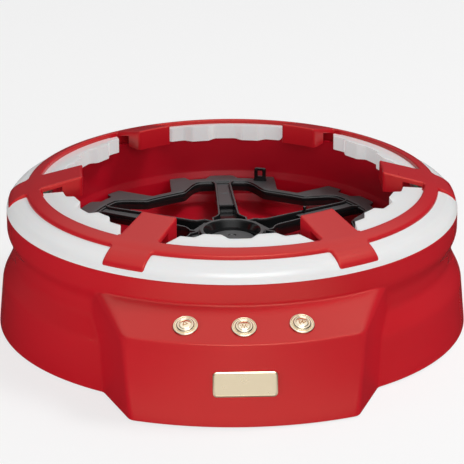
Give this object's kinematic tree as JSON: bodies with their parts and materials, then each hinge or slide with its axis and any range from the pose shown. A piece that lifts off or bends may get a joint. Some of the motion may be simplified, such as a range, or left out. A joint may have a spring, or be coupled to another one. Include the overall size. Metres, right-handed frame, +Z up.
{
  "type": "spin art machine",
  "caption": "Round battery powered spin art machine with a lit splash guard, an open spoked turntable and push buttons on a front panel.",
  "frame": {"origin": "on the turntable's axis, at table height", "axes": "+Z up along the turntable's axis, -Y towards the front panel, +X to the right seen from the front"},
  "size_m": [0.313, 0.3439, 0.1047],
  "materials": {
    "housing": "glossy moulded red plastic",
    "bowl": "glossy moulded red plastic",
    "frame_red": "glossy moulded red plastic",
    "diffuser": "milky white plastic",
    "table_black": "satin black plastic",
    "cap_black": "matt black plastic",
    "gold": "pale gold plated",
    "plate_gold": "pale gold, bare",
    "steel": "bright steel",
    "brass": "sintered bronze",
    "gear_white": "natural acetal",
    "board": "green laminate",
    "led": "clear over phosphor",
    "switch": "black moulded",
    "cover_black": "fine textured black plastic",
    "cell": "plain sleeve",
    "foot_rubber": "matt rubber"
  },
  "bodies": {
    "base": {"base_housing": "housing", "splash_bowl": "bowl", "light_board": "board", "light_leds": "led", "upper_bush": "brass", "lower_bush": "brass", "drive_motor": "steel", "motor_end_cap": "switch", "motor_screws": "steel", "drive_plate": "steel", "plate_screws": "steel", "bowl_screws": "steel", "button_bezels": "gold", "control_board": "board", "tact_switches": "switch", "board_screws": "steel", "nameplate": "plate_gold", "bottom_cover": "cover_black", "battery_cells": "cell", "contact_plates": "steel", "contact_springs": "steel", "cover_screws": "steel", "rubber_feet": "foot_rubber"},
    "turntable": {"turntable": "table_black", "hub_cap": "cap_black", "hub_screw": "steel", "spindle": "steel", "spindle_clip": "steel", "drive_gear": "gear_white"},
    "motor_rotor": {"motor_pinion": "brass", "motor_shaft": "steel"},
    "splash_guard": {"light_ring": "diffuser", "rim_frame": "frame_red", "frame_screws": "steel"},
    "battery_door": {"battery_door": "cover_black", "door_screw": "steel"},
    "button_left": {"button_left": "gold"},
    "button_middle": {"button_middle": "gold"},
    "button_right": {"button_right": "gold"}
  },
  "joints": [
    {"name": "turntable_spin", "type": "hinge", "parent": "base", "child": "turntable", "pos_m": [0, 0, 0.05], "axis": [0, 0, 1], "continuous": true},
    {"name": "rotor_spin", "type": "hinge", "parent": "base", "child": "motor_rotor", "pos_m": [0.024, 0, 0.035], "axis": [0, 0, 1], "continuous": true},
    {"name": "guard_lift", "type": "slide", "parent": "base", "child": "splash_guard", "axis": [0, 0, 1], "range_m": [0, 0.08]},
    {"name": "door_drop", "type": "slide", "parent": "base", "child": "battery_door", "axis": [0, 0, -1], "range_m": [0, 0.03]},
    {"name": "left_press", "type": "slide", "parent": "base", "child": "button_left", "axis": [0.0954, 0.4305, -0.8976], "range_m": [0, 0.0008], "stiffness_N_per_m": 900},
    {"name": "middle_press", "type": "slide", "parent": "base", "child": "button_middle", "axis": [0, 0.4409, -0.8976], "range_m": [0, 0.0008], "stiffness_N_per_m": 900},
    {"name": "right_press", "type": "slide", "parent": "base", "child": "button_right", "axis": [-0.0954, 0.4305, -0.8976], "range_m": [0, 0.0008], "stiffness_N_per_m": 900}
  ],
  "couplings": [
    {"joint": "rotor_spin", "follows": "turntable_spin", "ratio": -4}
  ]
}
